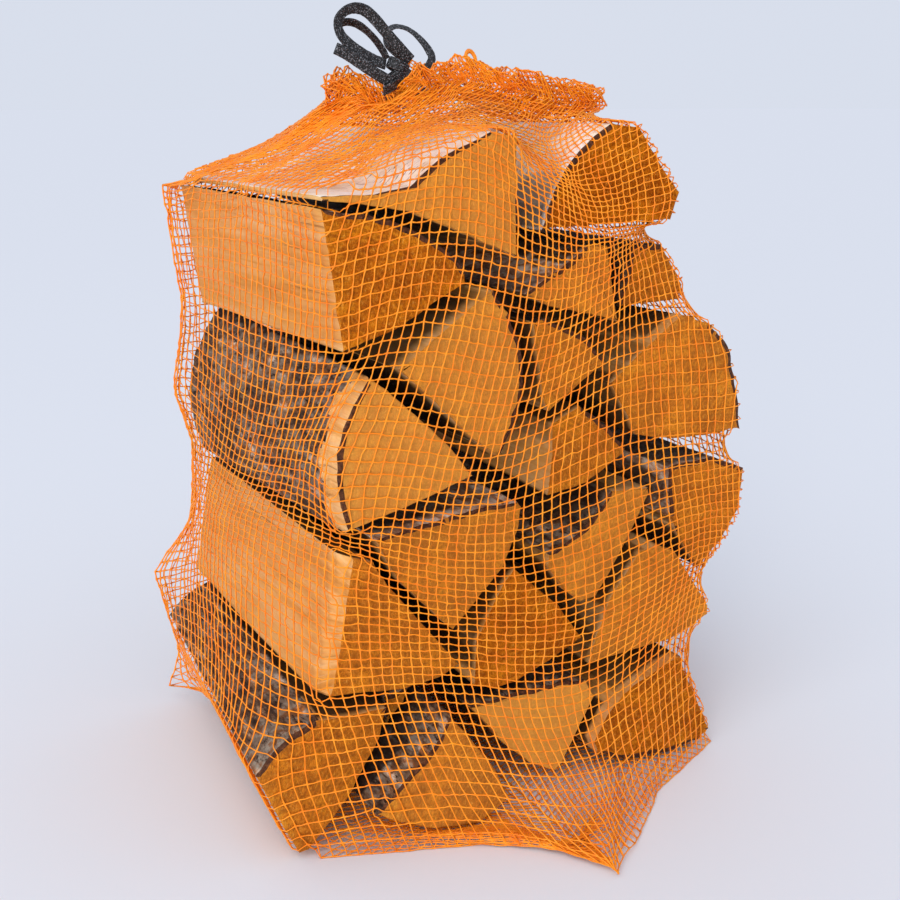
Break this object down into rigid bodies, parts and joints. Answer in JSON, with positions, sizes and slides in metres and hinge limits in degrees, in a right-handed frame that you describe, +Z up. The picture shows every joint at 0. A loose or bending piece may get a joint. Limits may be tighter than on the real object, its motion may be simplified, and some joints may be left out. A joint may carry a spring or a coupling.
{
  "type": "firewood bundle",
  "caption": "Split birch firewood lying in an upright orange net bag, tied at the top with a flat black drawstring bow.",
  "frame": {"origin": "middle of the bottom of the bag's own box, on the ground", "axes": "+Z up, longest extent; the cut log ends that show in front face -Y; the logs run along Y; +X is to the right of someone facing the front"},
  "size_m": [0.392, 0.377, 0.5286],
  "materials": {
    "white_bark_log": "sawn and split birch with papery white bark, dry and matt",
    "dark_bark_log": "sawn and split wood with rough grey-brown bark, dry and matt",
    "split_log": "sawn and split pale wood, dry and matt",
    "net": "knitted polyethylene net, slightly glossy",
    "drawstring": "flat woven black tape"
  },
  "bodies": {
    "root": {"log_top_middle": "white_bark_log", "log_top_right": "white_bark_log", "log_upper_wedge": "white_bark_log", "log_left_dark_bark": "dark_bark_log", "log_bottom_left": "dark_bark_log", "log_centre": "dark_bark_log", "log_lens": "dark_bark_log", "log_right_middle": "dark_bark_log", "log_bottom_centre": "dark_bark_log", "stick_between_logs": "dark_bark_log", "log_small_wedge": "dark_bark_log", "log_upper_recessed": "dark_bark_log", "log_right_high": "dark_bark_log", "log_bottom_middle": "dark_bark_log", "log_top_left": "split_log", "log_centre_quarter": "split_log", "log_left_pale": "split_log", "log_centre_wedge": "split_log", "log_right_low": "split_log", "log_low_wedge": "split_log", "log_bottom_right": "split_log", "net_bag": "net", "cord_loop_left_outer": "drawstring", "cord_loop_left_inner": "drawstring", "cord_loop_right": "drawstring", "cord_end_long": "drawstring", "cord_knot": "drawstring", "cord_neck_turn": "drawstring"}
  },
  "joints": []
}
